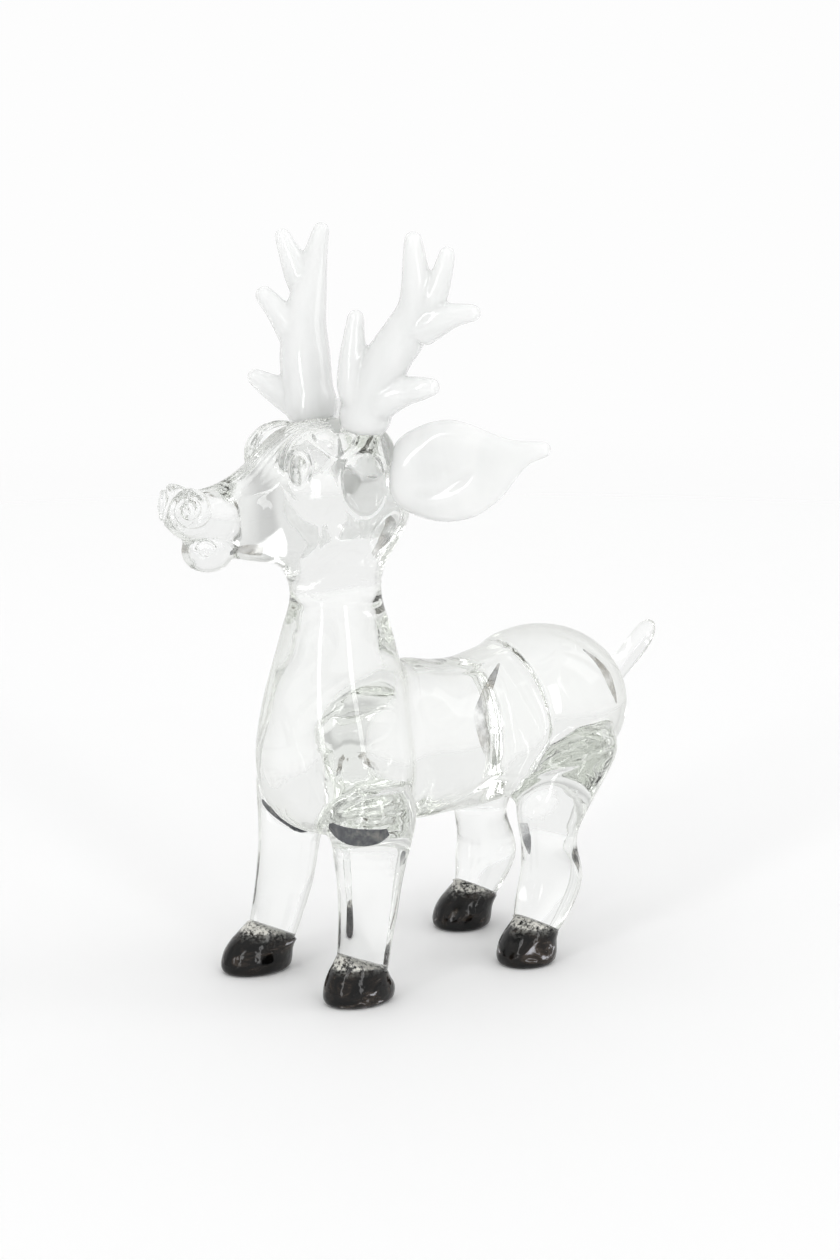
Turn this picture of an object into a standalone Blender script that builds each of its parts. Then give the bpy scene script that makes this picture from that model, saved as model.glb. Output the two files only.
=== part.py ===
"""Hot-worked glass reindeer figurine: clear body, opal white antlers and ears, black hooves.

Every bit of glass that was gathered and applied on its own is one object. The bits were fused hot,
so each later bit has a seat that follows the surface of the bit it was laid on.
Lengths below are in millimetres and are scaled to metres when the meshes are made.
The animal faces -Y, its left side is +X, and its hooves stand on Z = 0.
"""
import bpy
import bmesh
from math import cos, pi, sin
from mathutils import Vector

MM = 0.001

# ---- driving dimensions, millimetres -------------------------------------------------------
FUSE_GAP = 0.35        # clearance kept between two fused bits
LEG_X = 28.0           # legs stand this far each side of the middle
BODY_SIDES = 30        # facets round the large bits
LEG_SIDES = 20
ROD_SIDES = 12         # facets round the antler tines

# head, read along Y: (y, centre z, half width, half height)
HEAD = [(-92.5, 194.5, 0.0, 0.0), (-91.0, 194.5, 5.5, 5.2), (-87.5, 194.3, 8.8, 8.0),
        (-82.0, 194.0, 9.6, 9.4), (-75.0, 193.2, 9.2, 10.6), (-66.0, 191.6, 9.8, 14.6),
        (-56.0, 192.8, 12.0, 18.6), (-46.0, 195.0, 16.5, 23.2), (-36.0, 196.6, 20.5, 27.0),
        (-24.0, 197.0, 23.5, 29.0), (-11.0, 196.4, 24.3, 28.4), (0.0, 194.5, 22.0, 25.0),
        (8.0, 193.0, 15.5, 17.8), (11.8, 192.5, 8.5, 9.8), (13.2, 192.5, 0.0, 0.0)]

# neck and chest, read up Z: (z, centre y, half width, half depth)
CHEST = [(61.0, -18.0, 0.0, 0.0), (62.0, -18.0, 12.0, 10.0), (66.0, -18.0, 22.0, 18.5),
         (73.0, -17.5, 30.5, 25.0), (82.0, -17.0, 35.0, 28.5), (92.0, -16.5, 35.8, 29.8),
         (104.0, -16.2, 33.6, 29.4), (118.0, -16.0, 29.4, 27.6), (132.0, -16.0, 24.6, 24.2),
         (145.0, -16.0, 20.8, 20.8), (156.0, -16.2, 17.6, 17.6), (163.0, -16.8, 18.0, 18.4),
         (168.0, -18.6, 19.6, 20.6), (173.0, -20.0, 20.0, 23.4), (179.0, -20.0, 15.0, 16.0),
         (181.0, -20.0, 0.0, 0.0)]

# barrel, then the rump gather behind it, read along Y: (y, centre z, half width, half height)
BARREL = [(-9.0, 94.0, 0.0, 0.0), (-8.0, 94.0, 10.0, 12.0), (-3.0, 94.0, 22.0, 24.0),
          (6.0, 94.0, 29.0, 31.0), (18.0, 93.8, 31.2, 32.6), (32.0, 92.6, 30.6, 31.0),
          (46.0, 92.2, 30.6, 30.6), (57.0, 94.2, 31.4, 31.0), (66.0, 96.4, 29.6, 29.6),
          (73.0, 97.4, 22.0, 22.0), (77.0, 98.0, 9.0, 9.0), (78.0, 98.0, 0.0, 0.0)]
RUMP = [(50.0, 98.0, 0.0, 0.0), (51.0, 98.0, 8.0, 8.0), (55.0, 98.0, 18.0, 18.0),
        (61.0, 98.2, 25.8, 25.4), (69.0, 98.6, 31.2, 30.4), (78.0, 99.0, 33.8, 32.2),
        (88.0, 99.3, 34.0, 32.2), (98.0, 99.2, 32.0, 30.4), (107.0, 99.0, 27.6, 26.2),
        (115.0, 98.6, 20.6, 20.0), (120.0, 98.4, 12.0, 12.0), (122.2, 98.4, 0.0, 0.0)]

# legs, read up Z: (z, centre y, radius); side is +1 for the animal's left
FRONT_LEFT = [(6.0, -24.6, 6.0), (10.0, -24.0, 9.2), (15.0, -23.6, 10.2), (25.0, -22.4, 10.8), (35.0, -21.2, 11.6),
              (46.0, -20.4, 12.6), (56.0, -19.8, 14.2), (66.0, -19.0, 16.2), (76.0, -18.5, 17.2),
              (86.0, -18.0, 13.0)]
FRONT_RIGHT = [(6.0, -31.0, 5.0), (9.0, -30.0, 8.0), (14.0, -29.2, 9.8), (24.0, -26.2, 10.8), (36.0, -23.0, 11.8),
               (53.0, -20.4, 12.6), (66.0, -18.6, 14.6), (76.0, -18.0, 15.6), (86.0, -18.0, 12.0)]
REAR_LEFT = [(6.0, 61.0, 5.0), (10.0, 62.0, 8.4), (18.0, 65.2, 11.0), (28.0, 69.0, 12.7),
             (36.0, 70.6, 12.6), (46.0, 69.4, 11.4), (54.0, 69.0, 12.2), (64.0, 71.2, 15.2),
             (75.0, 76.0, 17.6), (86.0, 82.0, 17.4), (96.0, 86.0, 12.0)]
REAR_RIGHT = [(6.0, 71.0, 5.0), (10.0, 72.0, 8.2), (20.0, 76.6, 11.0), (29.0, 78.8, 12.8),
              (37.0, 78.6, 12.0), (48.0, 75.8, 11.0), (56.0, 76.0, 13.0), (66.0, 77.4, 16.0),
              (76.0, 80.0, 17.4), (86.0, 84.0, 17.2), (96.0, 87.0, 12.0)]

# hooves: x, middle of the sole along Y, half length, and how far back the top leans to meet the leg
HOOF_AT = {"front_left": (27.8, -25.4, 15.0, 1.8), "front_right": (-28.6, -36.6, 15.2, 7.2),
           "rear_left": (28.2, 57.4, 12.4, 4.8), "rear_right": (-26.6, 65.4, 12.6, 7.0)}
# sole to top: height, share of the lean, half length as a share of the longest, half width, tilt in degrees
HOOF = [(0.0, 0.0, 0.86, 9.4, 0.0), (1.2, 0.0, 0.97, 10.9, 0.0), (4.0, 0.02, 1.0, 11.7, 0.0),
        (7.2, 0.14, 0.96, 11.5, 5.0), (10.0, 0.38, 0.88, 10.9, 11.0), (12.4, 0.70, 0.79, 10.4, 17.0),
        (14.2, 1.0, 0.73, 10.0, 22.0)]

# ears: centre line from the head out to the tip, with half height and half thickness
EAR = [((20.0, -5.0, 205.5), 0.0, 0.0), ((20.5, -4.5, 205.5), 7.0, 4.4), ((23.0, -2.5, 205.5), 12.6, 6.2),
       ((29.0, 2.2, 206.0), 16.8, 6.8), ((36.0, 8.2, 207.0), 19.2, 7.0), ((43.0, 14.4, 208.2), 18.4, 6.4),
       ((49.5, 20.1, 210.4), 14.4, 5.4), ((54.6, 24.6, 212.8), 9.2, 4.4), ((59.0, 28.4, 214.8), 5.2, 3.6),
       ((63.4, 32.2, 216.4), 3.5, 3.0), ((66.6, 35.0, 217.2), 2.6, 2.4), ((68.0, 36.2, 217.4), 0.0, 0.0)]

# antlers: rods given as (x, y, z, radius) from root to tip
LEFT_BEAM = [(15.0, -13.5, 216.0, 11.0), (17.0, -13.8, 226.0, 10.4), (20.5, -13.0, 238.0, 9.4),
             (26.5, -10.4, 250.0, 8.6), (33.0, -6.4, 261.0, 8.2), (37.2, -4.4, 270.0, 7.0),
             (38.6, -5.2, 279.0, 5.6), (38.9, -6.4, 288.0, 4.3), (39.4, -7.4, 296.0, 3.3)]
LEFT_TINES = {
    "left_tine_back": [(38.0, -3.6, 262.5, 7.2), (44.0, -0.2, 266.0, 6.2), (50.0, 4.0, 268.4, 4.4),
                       (55.6, 8.0, 269.4, 3.3)],
    "left_tine_middle": [(39.0, -3.6, 267.0, 5.8), (43.8, -0.6, 276.0, 4.8), (46.4, 1.1, 284.6, 3.7),
                         (48.0, 1.9, 291.0, 3.0)],
    "left_tine_brow": [(18.5, -16.0, 231.0, 6.4), (17.2, -19.4, 240.0, 6.4), (17.0, -19.8, 250.0, 5.2),
                       (17.4, -19.4, 259.0, 3.9), (17.8, -18.7, 266.0, 3.1)],
    "left_tine_low": [(20.0, -13.0, 231.0, 7.4), (27.0, -11.0, 236.0, 6.8), (34.0, -7.2, 239.0, 5.4),
                      (40.0, -4.4, 240.4, 4.4), (43.6, -2.4, 241.2, 3.5)],
}
RIGHT_BEAM = [(-15.0, -14.5, 216.0, 11.0), (-17.0, -15.6, 225.0, 10.6), (-20.6, -14.8, 235.0, 9.8),
              (-26.4, -12.2, 247.0, 9.8), (-32.0, -8.4, 259.0, 8.4), (-36.0, -4.0, 269.0, 7.2),
              (-39.4, 0.6, 279.5, 5.6), (-41.0, 3.6, 287.0, 4.2), (-42.2, 6.6, 294.0, 3.2)]
RIGHT_TINES = {
    "right_tine_front": [(-36.6, -3.8, 268.0, 5.0), (-41.6, -4.6, 277.0, 5.6), (-46.4, -6.0, 286.0, 4.2),
                         (-49.4, -7.0, 292.0, 3.1)],
    "right_tine_side": [(-26.0, -11.5, 248.0, 6.8), (-32.0, -14.0, 255.5, 6.0), (-38.0, -16.2, 262.8, 4.8),
                        (-45.0, -18.6, 269.6, 3.7)],
    "right_tine_low": [(-18.5, -16.0, 228.0, 7.6), (-25.0, -19.6, 231.4, 6.8), (-33.4, -22.8, 234.6, 5.0),
                       (-41.0, -25.6, 238.0, 3.4)],
}

# tail: centre line with half width and half thickness
TAIL = [((0.0, 112.0, 101.0), 0.0, 0.0), ((0.0, 112.6, 101.4), 4.6, 5.2), ((0.0, 118.0, 104.0), 6.6, 7.0),
        ((0.0, 125.0, 107.6), 5.6, 5.6), ((0.0, 132.0, 112.2), 5.0, 4.4), ((0.0, 138.0, 117.4), 5.2, 4.2),
        ((0.0, 142.4, 122.4), 4.4, 3.6), ((0.0, 144.6, 125.6), 2.4, 2.2), ((0.0, 145.2, 126.6), 0.0, 0.0)]

# small applied bits on the face: centre, half sizes, and the direction each one looks
JAW = ((0.0, -74.5, 180.4), (8.6, 10.6, 8.6))
BROW = ((12.2, -36.6, 215.4), (8.0, 13.0, 9.0))
EYE = ((14.8, -43.2, 210.8), (3.8, 4.8, 6.8))
NOSTRIL_CENTRE = (6.6, -86.0, 197.2)
NOSTRIL_RADIUS = 7.6
NOSTRIL_TUBE = 2.6
NOSTRIL_LOOKS = (0.76, -0.58, 0.28)
LIP_CURL = ((7.2, -79.0, 181.8), (3.8, 5.0, 4.6))


def clear_scene():
    """Empty the file without resetting the program."""
    for old in list(bpy.data.objects):
        bpy.data.objects.remove(old, do_unlink=True)
    for old in list(bpy.data.meshes):
        bpy.data.meshes.remove(old)


def glass(name, colour, roughness):
    """A Principled material for one colour of glass."""
    mat = bpy.data.materials.new(name)
    mat.use_nodes = True
    shader = mat.node_tree.nodes["Principled BSDF"]
    shader.inputs["Base Color"].default_value = colour
    shader.inputs["Roughness"].default_value = roughness
    mat.diffuse_color = colour
    return mat


def catmull(a, b, c, d, t):
    """One value of the smooth curve that runs from b to c."""
    return 0.5 * (2 * b + (c - a) * t + (2 * a - 5 * b + 4 * c - d) * t * t
                  + (3 * b - a - 3 * c + d) * t ** 3)


def smoothed(rows, between):
    """Rows of numbers with extra rows read from the smooth curve through them."""
    out = []
    for i in range(len(rows) - 1):
        before = rows[max(i - 1, 0)]
        after = rows[min(i + 2, len(rows) - 1)]
        for k in range(between):
            t = k / between
            out.append([catmull(p, q, r, s, t) for p, q, r, s in zip(before, rows[i], rows[i + 1], after)])
    out.append(list(rows[-1]))
    return out


def add_ring(bm, centre, along_u, along_v, sides):
    """A closed ring of vertices, or one vertex where the ring has no size."""
    if along_u.length < 1e-6 or along_v.length < 1e-6:
        return [bm.verts.new(centre * MM)]
    turn = 2 * pi / sides
    return [bm.verts.new((centre + along_u * cos(turn * k) + along_v * sin(turn * k)) * MM)
            for k in range(sides)]


def skin(bm, rings):
    """Faces between each ring and the next; a single vertex closes an end."""
    for low, high in zip(rings, rings[1:]):
        count = max(len(low), len(high))
        for k in range(count):
            n = (k + 1) % count
            corners = [low[k % len(low)], low[n % len(low)], high[n % len(high)], high[k % len(high)]]
            unique = list(dict.fromkeys(corners))
            if len(unique) > 2:
                bm.faces.new(unique)


def finish(bm, name, mat):
    """Turn a mesh in progress into a named object with smooth faces."""
    bmesh.ops.recalc_face_normals(bm, faces=bm.faces)
    mesh = bpy.data.meshes.new(name)
    bm.to_mesh(mesh)
    bm.free()
    for face in mesh.polygons:
        face.use_smooth = True
    mesh.materials.append(mat)
    obj = bpy.data.objects.new(name, mesh)
    bpy.context.scene.collection.objects.link(obj)
    return obj


def rounded_rows(rows):
    """Rod rows (x, y, z, radius) with a half-round end added past the last one."""
    last = Vector(rows[-1][:3])
    radius = rows[-1][3]
    ahead = (last - Vector(rows[-2][:3])).normalized()
    out = list(rows)
    for angle in (30, 55, 78):
        a = angle * pi / 180
        out.append(tuple(last + ahead * radius * sin(a)) + (radius * cos(a),))
    out.append(tuple(last + ahead * radius) + (0.0,))
    return out


def rod(name, rows, mat, sides=ROD_SIDES, between=2):
    """A tapering round rod through the rows, closed at the root and rounded at the tip."""
    body = smoothed(rows, between)
    first = Vector(body[0][:3])
    back = (first - Vector(body[1][:3])).normalized()
    root = tuple(first + back * 0.4 * body[0][3]) + (0.0,)
    rows = [root] + rounded_rows([tuple(r) for r in body])
    bm = bmesh.new()
    rings = []
    side = None
    for i, (x, y, z, radius) in enumerate(rows):
        here = Vector((x, y, z))
        step = Vector(rows[min(i + 1, len(rows) - 1)][:3]) - Vector(rows[max(i - 1, 0)][:3])
        step.normalize()
        if side is None:
            side = step.orthogonal()
        side = (side - step * side.dot(step)).normalized()
        rings.append(add_ring(bm, here, side * radius, step.cross(side) * radius, sides))
    skin(bm, rings)
    return finish(bm, name, mat)


def loft_y(name, rows, mat):
    """A large bit made of upright oval sections read along Y."""
    bm = bmesh.new()
    rings = [add_ring(bm, Vector((0, y, z)), Vector((wide, 0, 0)), Vector((0, 0, high)), BODY_SIDES)
             for y, z, wide, high in rows]
    skin(bm, rings)
    return finish(bm, name, mat)


def loft_z(name, rows, mat):
    """A large bit made of level oval sections read up Z."""
    bm = bmesh.new()
    rings = [add_ring(bm, Vector((0, y, z)), Vector((wide, 0, 0)), Vector((0, deep, 0)), BODY_SIDES)
             for z, y, wide, deep in rows]
    skin(bm, rings)
    return finish(bm, name, mat)


def leg(name, rows, x, mat):
    """A leg: level round sections that shift forward and back on the way up."""
    rows = [(rows[0][0] - 1.0, rows[0][1], 0.0)] + rows + [(rows[-1][0] + 1.0, rows[-1][1], 0.0)]
    bm = bmesh.new()
    rings = [add_ring(bm, Vector((x, y, z)), Vector((radius, 0, 0)), Vector((0, radius, 0)), LEG_SIDES)
             for z, y, radius in rows]
    skin(bm, rings)
    return finish(bm, name, mat)


def hoof(name, x, y, half_length, lean, mat):
    """A black hoof: a flat oval sole drawn in and back, up to the sloping joint with the leg."""
    bm = bmesh.new()
    rings = []
    for z, share, along, wide, tilt in HOOF:
        slope = tilt * pi / 180
        forward = Vector((0, -cos(slope), sin(slope))) * along * half_length
        rings.append(add_ring(bm, Vector((x, y + share * lean, z)), Vector((wide, 0, 0)), forward, LEG_SIDES))
    skin(bm, rings)
    bm.faces.new(reversed(rings[0]))
    bm.faces.new(rings[-1])
    return finish(bm, name, mat)


def leaf(name, rows, side, mat):
    """A flat leaf-shaped bit along a centre line, lying on the given side."""
    rows = [(c[0] * side, c[1], c[2], half, thick) for c, half, thick in rows]
    bm = bmesh.new()
    rings = []
    for i, (x, y, z, half, thick) in enumerate(rows):
        step = Vector(rows[min(i + 1, len(rows) - 1)][:3]) - Vector(rows[max(i - 1, 0)][:3])
        step.normalize()
        up = Vector((0, 0, 1)) - step * step.z
        up.normalize()
        rings.append(add_ring(bm, Vector((x, y, z)), up * half, step.cross(up) * thick, LEG_SIDES))
    skin(bm, rings)
    return finish(bm, name, mat)


def lump(name, centre, half, side, mat, tilt=0.0):
    """A small rounded bit: an oval ball, tilted about X, lying on the given side."""
    bm = bmesh.new()
    bmesh.ops.create_uvsphere(bm, u_segments=16, v_segments=10, radius=1.0)
    for v in bm.verts:
        p = Vector((v.co.x * half[0], v.co.y * half[1], v.co.z * half[2]))
        turned = Vector((p.x, p.y * cos(tilt) - p.z * sin(tilt), p.y * sin(tilt) + p.z * cos(tilt)))
        v.co = (turned + Vector((centre[0] * side, centre[1], centre[2]))) * MM
    return finish(bm, name, mat)


def coil(name, centre, looks, radius, tube, side, mat):
    """A nostril: a wound ring of glass with its middle filled, looking outward."""
    out = Vector((looks[0] * side, looks[1], looks[2])).normalized()
    across = out.orthogonal().normalized()
    over = out.cross(across)
    middle = Vector((centre[0] * side, centre[1], centre[2]))
    # (distance from the middle, height along the outward direction)
    reach = radius - tube
    section = [(0.0, 0.9), (0.55 * reach, 0.5)]
    section += [(reach + tube * cos(a * pi / 180), tube * sin(a * pi / 180))
                for a in (150, 110, 70, 30, -10, -50)]
    section += [(0.5 * radius, -tube - 2.6), (0.0, -tube - 3.6)]
    bm = bmesh.new()
    rings = [add_ring(bm, middle + out * h, across * d, over * d, 16) for d, h in section]
    skin(bm, rings)
    return finish(bm, name, mat)


def seat(obj, hosts):
    """Cut each host, grown by the fuse gap, out of a bit that was laid on it."""
    for host in hosts:
        grown = host.copy()
        grown.data = host.data.copy()
        grown.name = "cut_" + obj.name + "_" + host.name
        grown.modifiers.clear()
        bm = bmesh.new()
        bm.from_mesh(grown.data)
        bm.normal_update()
        shifts = [v.normal * FUSE_GAP * MM for v in bm.verts]
        for v, shift in zip(bm.verts, shifts):
            v.co += shift
        bm.to_mesh(grown.data)
        bm.free()
        grown.hide_render = True
        grown.display_type = 'WIRE'
        bpy.context.scene.collection.objects.link(grown)
        cut = obj.modifiers.new("seat_" + host.name, 'BOOLEAN')
        cut.operation = 'DIFFERENCE'
        cut.solver = 'EXACT'
        cut.object = grown


def make_body(clear):
    """The large clear gathers and what is laid on them, without the face."""
    head = loft_y("head", HEAD, clear)
    chest = loft_z("neck_and_chest", CHEST, clear)
    rump = loft_y("rump", RUMP, clear)
    barrel = loft_y("barrel", BARREL, clear)
    tail = leaf_tail(clear)
    seat(chest, [head])
    seat(barrel, [chest, rump])
    seat(tail, [rump])
    return head, chest, barrel, rump


def leaf_tail(clear):
    """The pulled tail, a flattened drop that curves up from the rump."""
    bm = bmesh.new()
    rings = []
    rows = [c + (wide, thick) for c, wide, thick in TAIL]
    for i, (x, y, z, wide, thick) in enumerate(rows):
        step = Vector(rows[min(i + 1, len(rows) - 1)][:3]) - Vector(rows[max(i - 1, 0)][:3])
        step.normalize()
        sideways = Vector((1, 0, 0))
        rings.append(add_ring(bm, Vector((x, y, z)), sideways * wide, step.cross(sideways) * thick,
                              ROD_SIDES))
    skin(bm, rings)
    return finish(bm, "tail", clear)


def make_legs(clear, black, chest, barrel, rump):
    """Four clear legs let into the body, each with its black hoof."""
    plans = {"front_left": (FRONT_LEFT, LEG_X, [chest]), "front_right": (FRONT_RIGHT, -LEG_X, [chest]),
             "rear_left": (REAR_LEFT, LEG_X - 0.5, [barrel, rump]),
             "rear_right": (REAR_RIGHT, 0.5 - LEG_X, [barrel, rump])}
    for where, (rows, x, hosts) in plans.items():
        made = leg("leg_" + where, rows, x, clear)
        foot = hoof("hoof_" + where, *HOOF_AT[where], black)
        seat(made, hosts + [foot])


def make_face(clear, head):
    """Brows, eyes, nostril coils, lower jaw and the curl of glass on the lip."""
    brows = {}
    jaw = lump("lower_jaw", *JAW, 1, clear)
    seat(jaw, [head])
    curl = lump("lip_curl", *LIP_CURL, 1, clear)
    seat(curl, [head, jaw])
    for word, side in (("left", 1), ("right", -1)):
        brow = lump("brow_" + word, *BROW, side, clear, 0.35)
        seat(brow, [head])
        brows[word] = brow
        eye = lump("eye_" + word, *EYE, side, clear)
        seat(eye, [head, brow])
        nose = coil("nostril_" + word, NOSTRIL_CENTRE, NOSTRIL_LOOKS, NOSTRIL_RADIUS, NOSTRIL_TUBE,
                    side, clear)
        seat(nose, [head])
    return brows


def make_ears_and_antlers(opal, head, brows):
    """Two opal ears and two branched opal antlers set on the crown of the head."""
    for word, side in (("left", 1), ("right", -1)):
        ear = leaf("ear_" + word, EAR, side, opal)
        seat(ear, [head])
    for word, rows, tines in (("left", LEFT_BEAM, LEFT_TINES), ("right", RIGHT_BEAM, RIGHT_TINES)):
        beam = rod("antler_" + word + "_beam", rows, opal, 16)
        seat(beam, [head, brows[word]])
        placed = []
        for name, path in tines.items():
            tine = rod(name, path, opal)
            low_down = [head, brows[word]] if path[0][2] < 235.0 else []
            seat(tine, [beam] + placed + low_down)
            placed.append(tine)


def set_on_origin():
    """Move everything so the middle of the overall footprint stands on the origin."""
    bpy.context.view_layer.update()
    graph = bpy.context.evaluated_depsgraph_get()
    points = []
    for obj in bpy.data.objects:
        if obj.type == 'MESH' and not obj.hide_render:
            shape = obj.evaluated_get(graph)
            points += [obj.matrix_world @ v.co for v in shape.data.vertices]
    shift = Vector((-(min(p.x for p in points) + max(p.x for p in points)) / 2,
                    -(min(p.y for p in points) + max(p.y for p in points)) / 2,
                    -min(p.z for p in points)))
    for mesh in bpy.data.meshes:
        for v in mesh.vertices:
            v.co += shift
        mesh.update()
    return shift


def main():
    clear_scene()
    clear = glass("clear_glass", (0.93, 0.95, 0.93, 1.0), 0.03)
    opal = glass("white_opal_glass", (0.94, 0.94, 0.93, 1.0), 0.12)
    black = glass("black_glass", (0.012, 0.012, 0.014, 1.0), 0.08)
    head, chest, barrel, rump = make_body(clear)
    make_legs(clear, black, chest, barrel, rump)
    brows = make_face(clear, head)
    make_ears_and_antlers(opal, head, brows)
    shift = set_on_origin()
    print("moved by", [round(s * 1000, 3) for s in shift], "mm")


main()
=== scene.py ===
from math import cos, pi, radians, sin

import bmesh
import bpy
from bpy.props import FloatProperty, FloatVectorProperty, IntProperty, PointerProperty
from mathutils import Matrix, Vector, noise
from mathutils.bvhtree import BVHTree
import numpy as np


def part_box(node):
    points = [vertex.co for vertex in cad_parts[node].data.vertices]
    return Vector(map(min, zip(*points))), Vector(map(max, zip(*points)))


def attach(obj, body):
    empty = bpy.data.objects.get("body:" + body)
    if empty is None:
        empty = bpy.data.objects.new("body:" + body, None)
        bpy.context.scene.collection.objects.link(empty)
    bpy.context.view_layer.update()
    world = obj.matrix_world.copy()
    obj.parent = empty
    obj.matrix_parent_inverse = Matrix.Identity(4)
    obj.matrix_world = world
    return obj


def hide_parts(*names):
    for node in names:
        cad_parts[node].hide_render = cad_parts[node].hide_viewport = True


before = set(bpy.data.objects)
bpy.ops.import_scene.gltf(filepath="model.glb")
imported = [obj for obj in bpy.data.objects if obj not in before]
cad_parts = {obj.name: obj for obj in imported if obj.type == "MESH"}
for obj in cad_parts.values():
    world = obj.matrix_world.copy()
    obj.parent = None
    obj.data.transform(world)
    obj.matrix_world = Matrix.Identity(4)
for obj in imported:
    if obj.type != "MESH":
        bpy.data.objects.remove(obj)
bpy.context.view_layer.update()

bl_info = {
    "name": "Glass Reindeer Workshop",
    "version": (1, 0, 0),
    "blender": (4, 5, 0),
    "location": "3D View > Sidebar > Reindeer",
    "description": "Works a hot glass reindeer: clear body, opal antlers and ears, black hooves",
    "category": "Object",
}

MM = 0.001
# the shapes below are laid out with the animal's rump ending 122.2 mm behind the neck line
BACK_END = 122.2
SHIFT = Vector((0.0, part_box("rump")[1][1] - BACK_END * MM, 0.0))

# clear bits, in millimetres. Along Y: (y, centre z, half width, half height)
HEAD = [(-92.9, 194.5, 1.0, 1.0), (-92.0, 194.5, 3.6, 3.4), (-90.2, 194.5, 6.4, 6.0), (-87.0, 194.3, 9.0, 8.2),
        (-82.0, 194.0, 9.8, 9.6), (-75.0, 193.2, 9.4, 10.8), (-66.0, 191.6, 10.0, 14.8), (-56.0, 192.8, 12.4, 18.8),
        (-46.0, 195.0, 16.8, 23.4), (-36.0, 196.6, 20.8, 27.2), (-24.0, 197.0, 23.7, 29.2),
        (-11.0, 196.4, 24.5, 28.6), (0.0, 194.5, 22.4, 25.4), (8.0, 193.0, 16.2, 18.4), (12.0, 192.5, 9.6, 10.8),
        (13.6, 192.5, 3.0, 3.4)]
BARREL = [(-9.0, 94.0, 8.0, 10.0), (-3.0, 94.0, 22.0, 24.0), (6.0, 94.0, 29.0, 31.0), (18.0, 93.8, 31.2, 32.6),
          (32.0, 92.8, 30.8, 31.2), (46.0, 92.4, 30.8, 30.8), (57.0, 94.2, 31.6, 31.2), (66.0, 96.4, 29.8, 29.8),
          (73.0, 97.4, 22.0, 22.0), (77.0, 98.0, 9.0, 9.0)]
RUMP = [(50.0, 98.0, 3.0, 3.0), (51.5, 98.0, 9.0, 9.0), (55.0, 98.0, 18.0, 18.0), (61.0, 98.2, 26.0, 25.6),
        (69.0, 98.6, 31.4, 30.6), (78.0, 99.0, 34.0, 32.4), (88.0, 99.3, 34.2, 32.4), (98.0, 99.2, 32.2, 30.6),
        (107.0, 99.0, 27.8, 26.6), (115.0, 98.6, 21.0, 20.4), (120.0, 98.4, 13.0, 13.0), (122.4, 98.4, 4.0, 4.0)]
# up Z: (z, centre y, half width, half depth)
CHEST = [(61.0, -18.0, 4.0, 3.0), (62.2, -18.0, 12.0, 10.0), (66.0, -18.0, 22.2, 18.7), (73.0, -17.5, 30.7, 25.2),
         (82.0, -17.0, 35.2, 28.7), (92.0, -16.5, 36.0, 30.0), (104.0, -16.2, 33.8, 29.6),
         (118.0, -16.0, 29.6, 27.8), (132.0, -16.0, 24.8, 24.4), (145.0, -16.0, 21.0, 21.0),
         (156.0, -16.2, 17.9, 17.9), (163.0, -16.8, 18.2, 18.6), (168.0, -18.6, 19.8, 20.8),
         (173.0, -19.6, 20.0, 22.6), (180.0, -19.0, 18.6, 20.4), (188.0, -18.0, 13.0, 14.0),
         (192.0, -18.0, 4.0, 4.0)]
# legs up Z: (z, centre y, radius), set this far each side
LEG_X = 28.0
LEGS = {
    "front_left": (1, LEG_X, [(7.0, -24.6, 6.0), (10.0, -24.0, 9.2), (15.0, -23.6, 10.3), (25.0, -22.4, 10.9),
                   (35.0, -21.2, 11.7), (46.0, -20.4, 12.7), (56.0, -19.8, 14.3), (66.0, -19.0, 16.4),
                   (76.0, -18.5, 17.4), (86.0, -18.0, 13.0)]),
    "front_right": (-1, LEG_X, [(7.0, -30.6, 5.0), (9.5, -30.0, 8.2), (14.0, -29.2, 9.9), (24.0, -26.2, 10.9),
                    (36.0, -23.0, 11.9), (53.0, -20.4, 12.7), (66.0, -18.6, 14.8), (76.0, -18.0, 15.8),
                    (86.0, -18.0, 12.0)]),
    "rear_left": (1, LEG_X - 0.5, [(7.0, 61.2, 5.0), (10.0, 62.0, 8.4), (18.0, 65.2, 11.1), (28.0, 69.0, 12.8),
                  (36.0, 70.6, 12.7), (46.0, 69.4, 11.5), (54.0, 69.0, 12.3), (64.0, 71.2, 15.4),
                  (75.0, 76.0, 17.8), (86.0, 82.0, 17.6), (96.0, 86.0, 12.0)]),
    "rear_right": (-1, LEG_X - 0.5, [(7.0, 71.2, 5.0), (10.0, 72.0, 8.2), (20.0, 76.6, 11.1), (29.0, 78.8, 12.9),
                   (37.0, 78.6, 12.1), (48.0, 75.8, 11.1), (56.0, 76.0, 13.1), (66.0, 77.4, 16.2),
                   (76.0, 80.0, 17.6), (86.0, 84.0, 17.4), (96.0, 87.0, 12.0)]),
}
# hooves: x, middle of the sole along Y, half length, lean back to the leg, radius of the leg there
HOOVES = {"front_left": (27.8, -25.4, 15.2, 1.8, 10.5), "front_right": (-28.6, -36.6, 15.4, 7.2, 10.2),
          "rear_left": (28.2, 57.4, 12.6, 4.8, 9.9), "rear_right": (-26.6, 65.4, 12.8, 7.0, 9.9)}
HOOF = [(0.0, 0.0, 0.86, 9.4, 0.0), (0.5, 0.0, 0.92, 10.2, 0.0), (1.6, 0.0, 0.98, 11.2, 0.0),
        (4.0, 0.02, 1.0, 11.8, 0.0), (7.2, 0.14, 0.96, 11.6, 5.0), (10.0, 0.38, 0.88, 11.0, 11.0),
        (12.4, 0.70, 0.79, 10.5, 17.0), (14.4, 1.0, 0.73, 10.2, 22.0)]
# the domed cap above the last of those rows: how high froth starts, its rise, its tilt, degrees between rings
CAP_HEIGHT, CAP_RISE, CAP_TILT, CAP_STEP = 14.6, 3.4, 22.0, 19
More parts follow.
